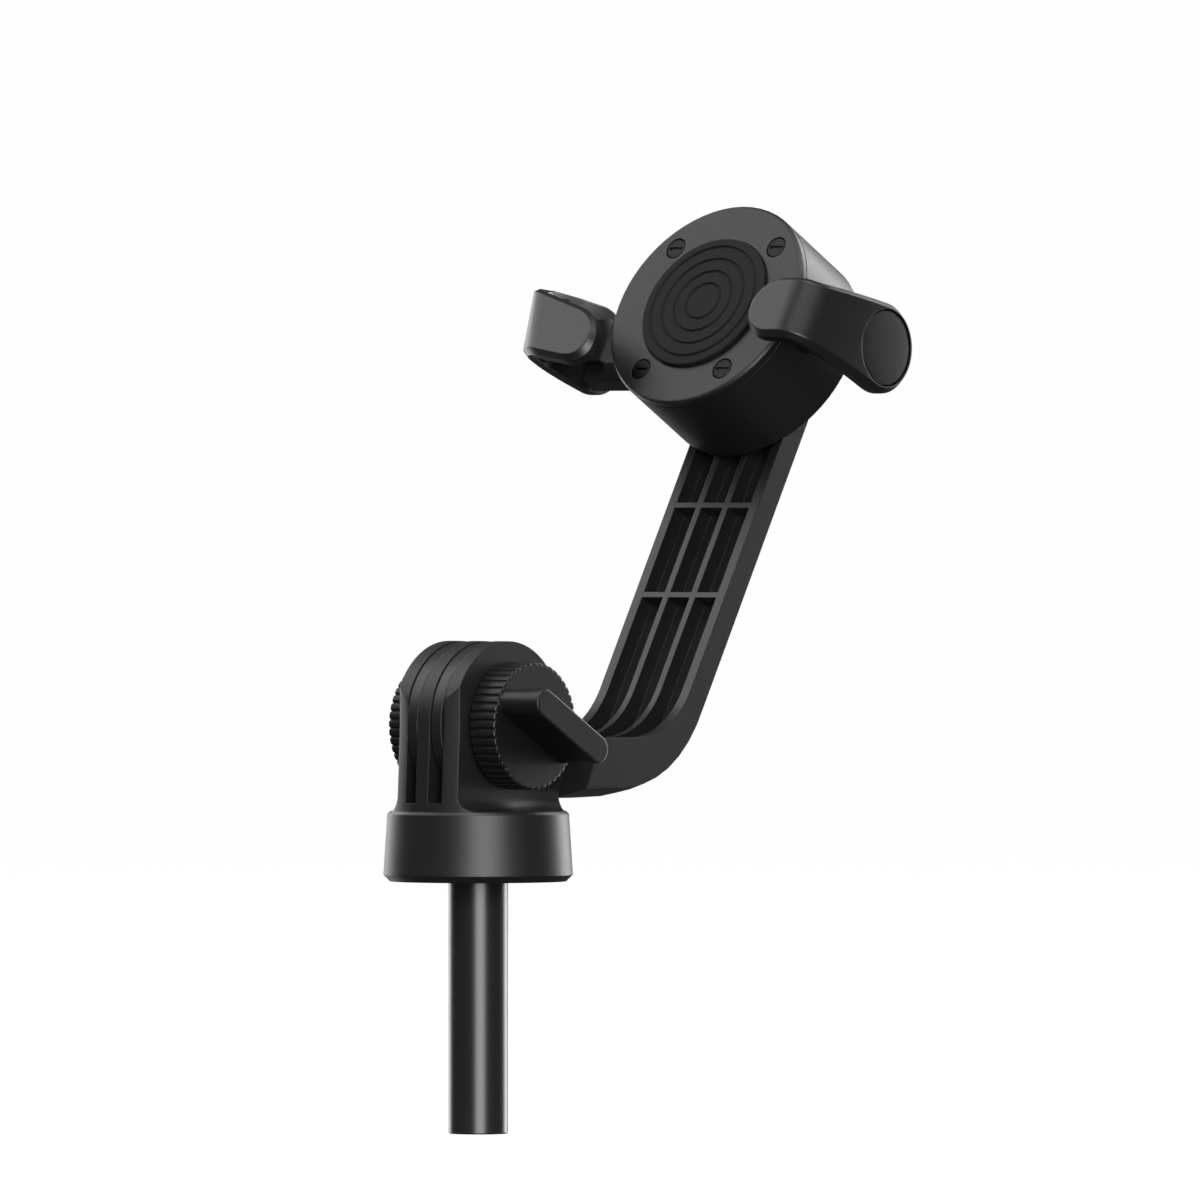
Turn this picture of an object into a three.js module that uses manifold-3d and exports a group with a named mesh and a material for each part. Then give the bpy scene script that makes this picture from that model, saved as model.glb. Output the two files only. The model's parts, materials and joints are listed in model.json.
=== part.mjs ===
// A phone-holder head on a stand pole: a pole with a collar and three-prong yoke, a ribbed cranked
// arm that tilts in the yoke, a round clamp housing that swivels on the arm, and two sliding jaws
// that are geared together. Millimetres, +Z up. The origin is the centre of the pole's lower end,
// +X runs along the tilt axis towards the lever knob, and +Y is the way the arm reaches out.
import * as THREE from 'three';
import { mergeVertices } from 'three/addons/utils/BufferGeometryUtils.js';
import Module from 'manifold-3d';

const wasm = await Module();
wasm.setup();

// ---------- driving dimensions ----------
const GAP = 0.3;                 // clearance between touching pieces
const WIDE_ROUND = 60;           // sides of the collar and housing
const ROUND = 40;                // sides of a large round
const SMALL_ROUND = 16;          // sides of a small round
const FAR = 80;                  // reach of a cutting tool that runs past everything

const POLE = { radius: 7.25, wall: 1.2, height: 70, plugLength: 16, footLength: 12, screwR: 1.4,
  screwHead: 2.4 };
const COLLAR = { socketDepth: 9, wideR: 22.95, footBevel: 1.6, height: 17, topR: 22, rimBevel: 0.7,
  skirtWall: 2.4, skirtDepth: 3, socketWall: 2.4, ribs: 6, ribThickness: 1.8, ribInset: 1 };
const YOKE = { pivotRise: 20.7, prong: 3.8, prongs: 3, waistR: 20.35, topR: 20.4, floorDrop: 18.6,
  reliefR: 20.6, fillet: 4 };
const BOLT = { radius: 2.5, hexFlats: 8, headThickness: 3.4 };
const KNOB = { radius: 15.4, flutes: 45, fluteDepth: 0.5, prongGap: 0.7, leverLength: 7.9,
  nutLength: 5.3, bevel: 0.6 };
const LEVER = { centres: 22.7, width: 6.8, height: 11.9, angle: -30, bevel: 0.7 };
const ARM = { width: 29, wall: 2.7, rib: 1.8, ribX: 4.25, skin: 2.2, crown: 2.6, tongueR: 20.2,
  shoulderR: 28, shoulderWall: 2.4, lean: 60, frontZ: -3.3, backZ: -15.45,
  frontArc: { y: 43, z: 20.2, r: 23.5 }, backArc: { y: 38, z: 17.55, r: 33 },
  crossFirst: 65.3, crossPitch: 25.4, crossRibs: 3, crossThickness: 1.6, padR: 17.5 };
const HEAD = { reach: 132.1, radius: 28.3, wall: 2, backTaper: 1.2, coverThickness: 2.2,
  screwRing: 22.6, screwAngles: [45, 135, 235, 305], bossR: 3.2, padR: 18, padThickness: 2,
  padInset: 0.8, frontRound: 1.2 };
const PHONE = { width: 71.5, thickness: 7.4, standoff: 28.8 };
const SWIVEL = { boltR: 2.5, headR: 4.6, headThickness: 2, washerR: 6.2, washerThickness: 1,
  boltDepth: 5 };
const MECH = { drop: 3.75, pitchR: 4, teeth: 8, toothShare: 0.366, addendum: 0.7, dedendum: 0.95,
  railBack: 9.2, railThickness: 5, railHeight: 5.5, reach: 12, axleR: 1.5, axleFlange: 2.6,
  springTurns: 3, springR: 8.5, springStrip: 0.6, springHeight: 4 };
const JAW = { standOut: 12.25, wall: 4.4, elbowR: 11.2, frontInset: 3.6, taperStart: 13.5,
  taperEnd: 4.5, bend: 6.5, lipThickness: 3.9, lipReach: 10.2, sideDraft: 0.7, lipDraft: 1.4, tipSlope: 4.6,
  blockLength: 5.8, blockSize: 10, capR: 9.2, capThickness: 1.2, screwR: 1.5, screwHeadR: 2.8,
  screwHead: 1.6, screwLength: 9, padDepth: 9.4 };
// each jaw's lip: how far its tip and its root stand above the middle of the phone
const LIPS = { below: 12.8, right: { tip: 4.6, tipR: 8.4, root: 4.6, rootR: 8.4, reach: 0 },
  left: { tip: -3.1, tipR: 6.2, root: 2.9, rootR: 8.8, reach: 4.1 } };

// ---------- finishes ----------
const plastic = (color, roughness) => new THREE.MeshStandardMaterial({ color, roughness, metalness: 0 });
const metal = (color, roughness) => new THREE.MeshStandardMaterial({ color, roughness, metalness: 1 });
const FINISH = {
  paint: new THREE.MeshStandardMaterial({ color: 0x1c1d1f, roughness: 0.28, metalness: 0.4 }),
  body: plastic(0x242527, 0.5), satin: plastic(0x1d1e20, 0.42), knob: plastic(0x1a1b1c, 0.48),
  rubber: plastic(0x121212, 0.85), nylon: plastic(0xd9d6cc, 0.5),
  steel: metal(0xb9bcc0, 0.35), spring: metal(0x8d9095, 0.4),
};

// ---------- helpers: three.js geometry in and out of a boolean ----------
function solid(geometry) {
  const bare = geometry.index ? geometry.toNonIndexed() : geometry.clone();
  bare.deleteAttribute('normal');
  bare.deleteAttribute('uv');
  const merged = mergeVertices(bare, 1e-4);
  return new wasm.Manifold(new wasm.Mesh({
    numProp: 3,
    vertProperties: new Float32Array(merged.attributes.position.array),
    triVerts: new Uint32Array(merged.index.array),
  }));
}

function mesh(name, body, finish) {
  const { vertProperties, triVerts } = body.getMesh();
  const geometry = new THREE.BufferGeometry();
  geometry.setAttribute('position', new THREE.BufferAttribute(new Float32Array(vertProperties), 3));
  geometry.setIndex(new THREE.BufferAttribute(new Uint32Array(triVerts), 1));
  geometry.computeVertexNormals();
  const part = new THREE.Mesh(geometry, FINISH[finish]);
  part.name = name;
  return part;
}

const along = (axis, geometry) => {
  if (axis === 'x') geometry.rotateZ(-Math.PI / 2);
  if (axis === 'z') geometry.rotateX(Math.PI / 2);
  return geometry;
};

// A cylinder on the x, y or z axis, from one place on that axis to another.
function rod(axis, radius, from, to, at = [0, 0, 0], sides = SMALL_ROUND) {
  const geometry = along(axis, new THREE.CylinderGeometry(radius, radius, to - from, sides));
  const middle = (from + to) / 2;
  geometry.translate(at[0] + (axis === 'x') * middle, at[1] + (axis === 'y') * middle,
    at[2] + (axis === 'z') * middle);
  return solid(geometry);
}

function box(low, high) {
  const size = high.map((value, i) => value - low[i]);
  const geometry = new THREE.BoxGeometry(...size);
  geometry.translate(...low.map((value, i) => value + size[i] / 2));
  return solid(geometry);
}

const shapeOf = (points) => new THREE.Shape(points.map(([a, b]) => new THREE.Vector2(a, b)));

// An outline in (x, y), extruded up z between two heights, with an optional bevel at both ends.
function slabZ(shape, from, to, bevel = 0, bevelDepth = bevel, segments = 1) {
  const geometry = new THREE.ExtrudeGeometry(shape, {
    depth: to - from - 2 * bevelDepth, curveSegments: 16, bevelEnabled: bevel > 0,
    bevelSize: bevel, bevelOffset: -bevel, bevelThickness: bevelDepth, bevelSegments: segments,
  });
  geometry.translate(0, 0, from + bevelDepth);
  return geometry;
}

// An outline in (y, z), extruded along x. The outline's first coordinate becomes y, its second z.
function slabX(shape, from, to, bevel = 0, bevelDepth = bevel, segments = 1) {
  const geometry = slabZ(shape, from, to, bevel, bevelDepth, segments);
  geometry.applyMatrix4(new THREE.Matrix4().set(0, 0, 1, 0, 1, 0, 0, 0, 0, 1, 0, 0, 0, 0, 0, 1));
  return geometry;
}

// An outline in (x, z), extruded along y.
function slabY(shape, from, to) {
  const geometry = slabZ(shape, -to, -from);
  geometry.applyMatrix4(new THREE.Matrix4().set(1, 0, 0, 0, 0, 0, -1, 0, 0, 1, 0, 0, 0, 0, 0, 1));
  return geometry;
}

const lathe = (points, sides = ROUND) => {
  const geometry = new THREE.LatheGeometry(points.map(([r, z]) => new THREE.Vector2(r, z)), sides);
  geometry.rotateX(Math.PI / 2);
  return solid(geometry);
};

const arc = (cy, cz, r, fromDeg, toDeg, steps) => Array.from({ length: steps + 1 }, (_, i) => {
  const a = THREE.MathUtils.degToRad(fromDeg + (toDeg - fromDeg) * i / steps);
  return [cy + r * Math.cos(a), cz + r * Math.sin(a)];
});

// The outline that wraps round two circles, such as a stadium or a tapered paddle.
function wrapTwo(a, b, steps = 16) {
  const dx = b.x - a.x, dy = b.y - a.y, span = Math.hypot(dx, dy);
  const heading = THREE.MathUtils.radToDeg(Math.atan2(dy, dx));
  const flare = THREE.MathUtils.radToDeg(Math.acos((a.r - b.r) / span));
  return [...arc(b.x, b.y, b.r, heading - flare, heading + flare, steps),
    ...arc(a.x, a.y, a.r, heading + flare, heading + 360 - flare, steps)];
}

// A right-hand solid as its left-hand twin.
const mirrorX = (body) => body.mirror([1, 0, 0]);

// ---------- pole and collar ----------
const socketR = POLE.radius + GAP;
const bottom = POLE.height - COLLAR.socketDepth;
const collarTop = bottom + COLLAR.height;
const pivotZ = collarTop + YOKE.pivotRise;
const socketTop = POLE.height + GAP;
const yokeHalf = YOKE.prong * (2 * YOKE.prongs - 1) / 2;
const boreR = BOLT.radius + GAP;
const plugScrewTip = pivotZ - YOKE.reliefR - 1.6;

function pole() {
  const inner = POLE.radius - POLE.wall;
  return lathe([[inner, 0], [POLE.radius, 0], [POLE.radius, POLE.height], [inner, POLE.height],
    [inner, 0]], 48);
}

function polePlug() {
  const fit = POLE.radius - POLE.wall - GAP;
  const plug = rod('z', fit, POLE.height - POLE.plugLength, POLE.height, [0, 0, 0], 32);
  return plug.subtract(rod('z', POLE.screwR + GAP, 0, POLE.height + 1));
}

// The slider that closes the pole's lower end and guides it in the next tube of the stand.
function poleFoot() {
  return rod('z', POLE.radius - POLE.wall - GAP, 0, POLE.footLength, [0, 0, 0], 32);
}

function plugScrew() {
  const headTop = POLE.height - POLE.plugLength - GAP;
  const shank = rod('z', POLE.screwR, headTop - 1, plugScrewTip);
  return shank.add(rod('z', 2 * POLE.screwR, headTop - POLE.screwHead, headTop));
}

function collarYoke() {
  const { wideR, topR, footBevel, rimBevel } = COLLAR;
  const cone = lathe([[0, bottom], [wideR - footBevel, bottom], [wideR, bottom + footBevel],
    [topR, collarTop - rimBevel], [topR - rimBevel, collarTop], [0, collarTop]], WIDE_ROUND);
  const skirt = wideR - COLLAR.skirtWall;
  const hub = socketR + COLLAR.socketWall;
  const roof = bottom + COLLAR.skirtDepth;
  const hollow = lathe([[hub, bottom - 1], [skirt, bottom - 1], [skirt - 0.5, roof], [hub, roof],
    [hub, bottom - 1]]);
  const prongTop = pivotZ + YOKE.topR;
  const drum = lathe([[0, roof + 1], [topR - rimBevel, roof + 1], [topR - rimBevel, collarTop],
    [YOKE.waistR, pivotZ], [YOKE.waistR, prongTop + 1], [0, prongTop + 1]], WIDE_ROUND);
  const dome = slabX(shapeOf([[-FAR, roof + 2], [FAR, roof + 2], [FAR, pivotZ],
    ...arc(0, pivotZ, YOKE.topR, 0, 180, 32), [-FAR, pivotZ]]), -yokeHalf, yokeHalf);
  let prongs = drum.intersect(solid(dome));
  // the fillets that carry the outer prongs down into the collar's top
  for (const side of [-1, 1]) {
    const foot = shapeOf([[side * (yokeHalf - 1), collarTop - 2],
      ...arc(side * (yokeHalf + YOKE.fillet), collarTop + YOKE.fillet, YOKE.fillet, -90,
        side > 0 ? -180 : 0, 8).reverse(), [side * (yokeHalf + YOKE.fillet), collarTop - 2]]);
    prongs = prongs.add(drum.intersect(solid(slabY(foot, -FAR, FAR))));
  }
  let body = cone.subtract(hollow).add(prongs);
  for (let i = 0; i < COLLAR.ribs; i += 1) {
    const spoke = new THREE.BoxGeometry(skirt - hub + 2, COLLAR.ribThickness, COLLAR.skirtDepth);
    spoke.translate((skirt + hub) / 2, 0, bottom + COLLAR.ribInset + COLLAR.skirtDepth / 2);
    spoke.rotateZ(i * 2 * Math.PI / COLLAR.ribs);
    body = body.add(solid(spoke));
  }
  // slots for the arm's tongues, with the round relief that the tongues sweep
  for (let i = 0; i < YOKE.prongs - 1; i += 1) {
    const from = -yokeHalf + YOKE.prong * (2 * i + 1);
    const floor = pivotZ - YOKE.floorDrop;
    body = body.subtract(box([from, -FAR, floor], [from + YOKE.prong, FAR, pivotZ + FAR]));
    body = body.subtract(rod('x', YOKE.reliefR, from, from + YOKE.prong, [0, 0, pivotZ], ROUND));
  }
  body = body.subtract(rod('z', socketR, bottom - 1, socketTop, [0, 0, 0], 48));
  body = body.subtract(rod('z', POLE.screwR + GAP, socketTop - 1, plugScrewTip + GAP));
  return body.subtract(rod('x', boreR, -FAR, FAR, [0, 0, pivotZ]));
}

// ---------- tilt clamp: bolt, nut and the two knobs, on the tilt axis ----------
const knobFace = yokeHalf + KNOB.prongGap;
const boltEnd = knobFace + KNOB.nutLength - 1.2;
const headAt = knobFace + KNOB.leverLength - BOLT.headThickness - 1.5;

const hexagon = (flats) => shapeOf(Array.from({ length: 6 }, (_, i) => {
  const a = (i + 0.5) * Math.PI / 3;
  return [flats / Math.sqrt(3) * Math.cos(a), flats / Math.sqrt(3) * Math.sin(a)];
}));

function flutedDisc(from, to) {
  const points = Array.from({ length: 2 * KNOB.flutes }, (_, i) => {
    const a = i * Math.PI / KNOB.flutes;
    const r = KNOB.radius - (i % 2) * KNOB.fluteDepth;
    return [r * Math.cos(a), r * Math.sin(a)];
  });
  return solid(slabX(shapeOf(points), from, to, KNOB.bevel));
}

function tiltBolt() {
  const shank = rod('x', BOLT.radius, -boltEnd, headAt + 1);
  return shank.add(solid(slabX(hexagon(BOLT.hexFlats), headAt, headAt + BOLT.headThickness)));
}

function tiltNut() {
  const from = -knobFace - BOLT.headThickness - 1;
  const nut = solid(slabX(hexagon(BOLT.hexFlats), from, from + BOLT.headThickness));
  return nut.subtract(rod('x', boreR, -FAR, 0));
}

function leverKnob() {
  const rim = knobFace + KNOB.leverLength;
  const half = LEVER.centres / 2;
  const end = LEVER.width / 2;
  const bar = slabX(shapeOf(wrapTwo({ x: -half, y: 0, r: end }, { x: half, y: 0, r: end })),
    rim - 2, rim + LEVER.height, LEVER.bevel);
  bar.rotateX(THREE.MathUtils.degToRad(LEVER.angle));
  const pocket = slabX(hexagon(BOLT.hexFlats + 2 * GAP), -FAR, headAt + BOLT.headThickness + GAP);
  return flutedDisc(knobFace, rim).add(solid(bar)).subtract(solid(pocket));
}

function nutKnob() {
  const pocketTo = -knobFace - BOLT.headThickness - 1 - GAP;
  const pocket = slabX(hexagon(BOLT.hexFlats + 2 * GAP), pocketTo, 0);
  return flutedDisc(-knobFace - KNOB.nutLength, -knobFace).subtract(solid(pocket));
}

// ---------- arm, in the (y, z) plane about the tilt axis ----------
const lean = THREE.MathUtils.degToRad(ARM.lean);
const up = new THREE.Vector2(Math.cos(lean), Math.sin(lean));          // along the straight length
const out = new THREE.Vector2(-Math.sin(lean), Math.cos(lean));        // out of the arm's front
const at = (reach, depth) => [reach * up.x + depth * out.x, reach * up.y + depth * out.y];
const arcDepth = ({ y, z, r }) => (y * out.x + z * out.y) - r;          // plane that an arc runs into
const frontPlane = arcDepth(ARM.frontArc);
const backPlane = arcDepth(ARM.backArc);

// The side profile between the front and back faces, with the back face moved out by extra.
function armProfile(start, end, extra, frontExtra = 0) {
  const { frontArc, backArc } = ARM;
  const turn = ARM.lean - 90;
  return [[start, ARM.backZ - extra], ...arc(backArc.y, backArc.z, backArc.r + extra, -90, turn, 12),
    at(end, backPlane - extra), at(end, frontPlane + frontExtra),
    ...arc(frontArc.y, frontArc.z, frontArc.r - frontExtra, turn, -90, 12),
    [start, ARM.frontZ + frontExtra]];
}

// A bar with a crowned back that follows the arm's back face, to trim the side profile with.
function crownedSweep(half) {
  const rise = ARM.crown, crownR = (half * half + rise * rise) / (2 * rise);
  const spread = THREE.MathUtils.radToDeg(Math.asin(half / crownR));
  const section = shapeOf([...arc(rise - crownR, 0, crownR, -spread, spread, 6), [-FAR / 4, half],
    [-FAR / 4, -half]]);
  const route = new THREE.CurvePath();
  const bend = arc(ARM.backArc.y, ARM.backArc.z, ARM.backArc.r, -90, ARM.lean - 90, 12)
    .map(([y, z]) => new THREE.Vector3(0, y, z));
  const points = [new THREE.Vector3(0, ARM.shoulderR - 8, ARM.backZ), ...bend,
    new THREE.Vector3(0, ...at(HEAD.reach + 1, backPlane))];
  for (let i = 1; i < points.length; i += 1) route.add(new THREE.LineCurve3(points[i - 1], points[i]));
  return solid(new THREE.ExtrudeGeometry(section, { steps: 30, extrudePath: route, bevelEnabled: false }));
}

function arm() {
  const half = ARM.width / 2;
  let body = solid(slabX(shapeOf(armProfile(ARM.shoulderR - 6, HEAD.reach, ARM.crown)), -half, half))
    .intersect(crownedSweep(half));
  const [padY, padZ] = at(HEAD.reach, 0);
  const pad = new THREE.CylinderGeometry(ARM.padR, ARM.padR, frontPlane - backPlane, ROUND);
  pad.rotateX(Math.PI / 2);
  pad.translate(0, 0, (frontPlane + backPlane) / 2);
  pad.rotateX(lean);
  pad.translate(0, padY, padZ);
  body = body.add(solid(pad));
  body = body.subtract(rod('x', ARM.shoulderR, -FAR, FAR, [0, 0, 0], WIDE_ROUND));
  // channels between the walls and ribs, stopped by the cross ribs
  const rib = ARM.rib / 2;
  const lanes = [[-half + ARM.wall, -ARM.ribX - rib], [-ARM.ribX + rib, ARM.ribX - rib],
    [ARM.ribX + rib, half - ARM.wall]];
  const channel = solid(slabX(shapeOf(armProfile(0, HEAD.reach, -ARM.skin, 1)), -half, half))
    .subtract(rod('x', ARM.shoulderR + ARM.shoulderWall, -FAR, FAR, [0, 0, 0], WIDE_ROUND));
  const stops = Array.from({ length: ARM.crossRibs }, (_, i) => ARM.crossFirst + i * ARM.crossPitch);
  let cutter = channel;
  for (const stop of stops) {
    const web = new THREE.BoxGeometry(FAR, ARM.crossThickness, 30);
    web.rotateX(lean);
    web.translate(0, ...at(stop, (frontPlane + backPlane) / 2));
    cutter = cutter.subtract(solid(web));
  }
  const topStop = new THREE.BoxGeometry(FAR, FAR, FAR);
  topStop.translate(0, FAR / 2 + stops[stops.length - 1], 0);
  topStop.rotateX(lean);
  topStop.translate(0, frontPlane * out.x, frontPlane * out.y);
  cutter = cutter.subtract(solid(topStop));
  for (const [from, to] of lanes) {
    body = body.subtract(cutter.intersect(box([from, -FAR, -FAR], [to, 3 * FAR, 3 * FAR])));
  }
  // tongues between the prongs
  for (let i = 0; i < YOKE.prongs - 1; i += 1) {
    const from = -yokeHalf + YOKE.prong * (2 * i + 1) + GAP;
    const to = from + YOKE.prong - 2 * GAP;
    body = body.add(rod('x', ARM.tongueR, from, to, [0, 0, 0], ROUND));
    body = body.add(box([from, 4, ARM.backZ], [to, ARM.shoulderR + 1.5, ARM.frontZ]));
  }
  body = body.subtract(rod('x', boreR, -FAR, FAR));
  const bore = along('z', new THREE.CylinderGeometry(SWIVEL.boltR + GAP, SWIVEL.boltR + GAP,
    SWIVEL.boltDepth + 1, SMALL_ROUND));
  bore.translate(0, 0, frontPlane - (SWIVEL.boltDepth + GAP) / 2 + 0.5);
  bore.rotateX(lean);
  bore.translate(0, padY, padZ);
  return body.subtract(solid(bore));
}

// ---------- clamp head: x across, y up along the arm, z forward from the arm's front plane ----------
const backFace = GAP;
const floorZ = backFace + HEAD.wall;
const padFace = PHONE.standoff - GAP;
const coverFace = padFace - HEAD.padThickness + HEAD.padInset;
const coverBack = coverFace - HEAD.coverThickness;
const railFrom = MECH.railBack;
const railTo = railFrom + MECH.railThickness;
const toothPitch = 2 * Math.PI * MECH.pitchR / MECH.teeth;
const toothWidth = MECH.toothShare * toothPitch;
const railNear = MECH.pitchR + MECH.dedendum;
const railFar = railNear + MECH.railHeight;
const innerR = HEAD.radius - HEAD.wall;
const axleTo = railTo + MECH.springHeight + 3;
const screwSpots = HEAD.screwAngles.map((deg) => {
  const a = THREE.MathUtils.degToRad(deg);
  return [HEAD.screwRing * Math.cos(a), HEAD.screwRing * Math.sin(a)];
});

function railWindow(side) {
  const sign = side > 0 ? 1 : -1;
  const low = -MECH.drop + (sign > 0 ? railNear - MECH.dedendum - MECH.addendum : -railFar) - 0.35;
  const high = -MECH.drop + (sign > 0 ? railFar : -railNear + MECH.dedendum + MECH.addendum) + 0.35;
  return box([sign > 0 ? 10 : -FAR, low, railFrom - 0.35], [sign > 0 ? FAR : -10, high, railTo + 0.35]);
}

function housingShell() {
  const { radius, backTaper } = HEAD;
  const rim = coverBack - GAP;
  let body = lathe([[0, backFace], [radius - backTaper, backFace], [radius, backFace + backTaper],
    [radius, rim], [innerR, rim], [innerR, floorZ], [0, floorZ]], WIDE_ROUND);
  // keepers: two ledges under the rails, and the posts that take the cover's screws
  let fittings = box([-innerR + 4, -MECH.drop + railNear + 1, backFace + 0.5],
    [innerR - 3, -MECH.drop + railNear + 3.2, railFrom - GAP]);
  fittings = fittings.add(box([-innerR + 3, -MECH.drop - railNear - 3.2, backFace + 0.5],
    [innerR - 4, -MECH.drop - railNear - 1, railFrom - GAP]));
  for (const [x, y] of screwSpots) {
    fittings = fittings.add(rod('z', HEAD.bossR, backFace + 0.5, rim - 2, [x, y, 0]));
  }
  const within = rod('z', innerR + 0.5, backFace, rim - 1, [0, 0, 0], ROUND);
  const washerRoom = rod('z', SWIVEL.washerR + 1, floorZ, FAR, [0, 0, 0], 32);
  body = body.add(fittings.intersect(within).subtract(washerRoom));
  body = body.add(rod('z', MECH.axleR + 2, backFace + 0.5, railFrom - GAP - 0.6, [0, -MECH.drop, 0])
    .subtract(washerRoom));
  for (const [x, y] of screwSpots) body = body.subtract(rod('z', 1.5, floorZ + 6, FAR, [x, y, 0]));
  body = body.subtract(rod('z', SWIVEL.boltR + GAP, -1, floorZ + 1));
  return body.subtract(railWindow(1)).subtract(railWindow(-1));
}

function housingCover() {
  const { radius, frontRound } = HEAD;
  let body = lathe([[0, coverBack], [radius, coverBack], [radius, coverFace - frontRound],
    ...arc(radius - frontRound, coverFace - frontRound, frontRound, 0, 90, 3), [0, coverFace]], WIDE_ROUND);
  const spigot = rod('z', innerR - GAP, coverBack - 1.6, coverBack + 0.5, [0, 0, 0], ROUND)
    .subtract(rod('z', innerR - 2.2, coverBack - 2, coverBack + 0.2, [0, 0, 0], ROUND));
  const relief = screwSpots.map(([x, y]) => rod('z', HEAD.bossR + GAP, coverBack - 4, coverBack - 0.01,
    [x, y, 0]));
  body = body.add(relief.reduce((ring, post) => ring.subtract(post), spigot));
  body = body.subtract(rod('z', HEAD.padR + GAP, coverFace - HEAD.padInset - GAP, FAR, [0, 0, 0], ROUND));
  for (const [x, y] of screwSpots) {
    body = body.subtract(rod('z', 1.7, coverBack - 4, FAR, [x, y, 0]));
    body = body.subtract(rod('z', 2.9, coverFace - 1.3, FAR, [x, y, 0]));
  }
  return body;
}

function coverScrew([x, y]) {
  const shank = rod('z', 1.2, floorZ + 12, coverFace - 0.6, [x, y, 0], 16);
  const head = rod('z', 2.6, coverFace - 1.3 + 0.15, coverFace - 0.1, [x, y, 0], 20);
  const slot = box([x - 2, y - 0.35, coverFace - 0.5], [x + 2, y + 0.35, coverFace + 1]);
  return shank.add(head).subtract(slot);
}

function restPad() {
  const low = coverFace - HEAD.padInset;
  const r = HEAD.padR;
  return lathe([[0, low], [r, low], [r, padFace - 0.6], [r - 0.6, padFace], [0, padFace]], ROUND);
}

function swivelBolt() {
  const headLow = floorZ + SWIVEL.washerThickness + 2 * GAP;
  const shank = rod('z', SWIVEL.boltR, -SWIVEL.boltDepth, headLow + 0.5);
  const socket = slabZ(hexagon(3.2), headLow + 0.8, headLow + 5);
  return shank.add(rod('z', SWIVEL.headR, headLow, headLow + SWIVEL.headThickness, [0, 0, 0], 32))
    .subtract(solid(socket));
}

function swivelWasher() {
  const low = floorZ + GAP;
  return rod('z', SWIVEL.washerR, low, low + SWIVEL.washerThickness, [0, 0, 0], 32)
    .subtract(rod('z', SWIVEL.boltR + GAP, low - 1, low + 3));
}

function gearOutline() {
  const { pitchR, teeth, addendum, dedendum } = MECH;
  const root = pitchR - dedendum, tip = pitchR + addendum;
  const rootHalf = toothWidth * 0.72 / root, tipHalf = toothWidth * 0.3 / tip;
  return shapeOf(Array.from({ length: teeth }, (_, i) => {
    const a = (i + 0.5) * 2 * Math.PI / teeth + Math.PI / 2;
    return [[root, a - rootHalf], [tip, a - tipHalf], [tip, a + tipHalf], [root, a + rootHalf]];
  }).flat().map(([r, a]) => [r * Math.cos(a), r * Math.sin(a)]));
}

function pinion() {
  const gear = solid(slabZ(gearOutline(), railFrom, railTo)).translate([0, -MECH.drop, 0]);
  return gear.subtract(rod('z', MECH.axleR + GAP, 0, FAR, [0, -MECH.drop, 0]));
}

function pinionAxle() {
  const spot = [0, -MECH.drop, 0];
  return rod('z', MECH.axleR, railFrom - GAP - 0.3, axleTo, spot)
    .add(rod('z', MECH.axleFlange, railTo + GAP, railTo + GAP + 0.8, spot))
    .add(rod('z', MECH.axleFlange, axleTo, axleTo + 0.8, spot));
}

function returnSpring() {
  const { springTurns, springR, springStrip } = MECH;
  const steps = springTurns * 20;
  const inner = MECH.axleR + GAP + 0.2;
  const line = (offset) => Array.from({ length: steps + 1 }, (_, i) => {
    const a = i / steps * springTurns * 2 * Math.PI;
    const r = inner + (springR - inner) * i / steps + offset;
    return [r * Math.cos(a), r * Math.sin(a) - MECH.drop];
  });
  const strip = shapeOf([...line(0), ...line(springStrip).reverse()]);
  return solid(slabZ(strip, railTo + GAP + 0.8 + GAP, railTo + GAP + 0.8 + GAP + MECH.springHeight));
}

// ---------- jaws, made for the right-hand side ----------
const phoneFront = PHONE.standoff + PHONE.thickness;
const lipBack = phoneFront + GAP;
const lipFront = lipBack + JAW.lipThickness;
const phoneSide = PHONE.width / 2;
const outerX = phoneSide + JAW.standOut;
const frontX = outerX - JAW.frontInset;
const paddleInner = outerX - JAW.wall;
const taperFrom = lipBack - JAW.taperStart;
const taperTo = lipBack - JAW.taperEnd;
const elbow = { y: -MECH.drop, z: railFrom + MECH.railThickness / 2 };
const tipX = phoneSide - JAW.lipReach;

function rackTeeth(from, to, edge, towards) {
  const root = toothWidth * 0.66, tip = toothWidth * 0.3;
  const teeth = [];
  for (let x = Math.ceil(from / toothPitch) * toothPitch; x < to; x += toothPitch) {
    teeth.push(solid(slabZ(shapeOf([[x - root, edge - 0.2 * towards],
      [x - root, edge], [x - tip, edge + towards * (MECH.dedendum + MECH.addendum)],
      [x + tip, edge + towards * (MECH.dedendum + MECH.addendum)], [x + root, edge],
      [x + root, edge - 0.2 * towards]]), railFrom, railTo)));
  }
  return teeth;
}

// The rail and its end block; above is +1 where it runs over the pinion and -1 where it runs under.
function slide(above) {
  const near = -MECH.drop + above * railNear;
  const far = -MECH.drop + above * railFar;
  const blockTo = paddleInner - GAP;
  const blockFrom = blockTo - JAW.blockLength;
  let body = box([-MECH.reach, Math.min(near, far), railFrom],
    [blockFrom + 1, Math.max(near, far), railTo]);
  const half = JAW.blockSize / 2;
  body = body.add(box([blockFrom, elbow.y - half - 1, elbow.z - half],
    [blockTo, elbow.y + half + 1, elbow.z + half]));
  body = body.add(box([blockFrom, Math.min(near, far), railFrom], [blockTo, Math.max(near, far), railTo]));
  for (const tooth of rackTeeth(-MECH.reach + 1.2, MECH.reach + 4, near, -above)) body = body.add(tooth);
  return body.subtract(rod('x', JAW.screwR - 0.1, blockFrom - 1, FAR, [0, elbow.y, elbow.z]));
}

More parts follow.
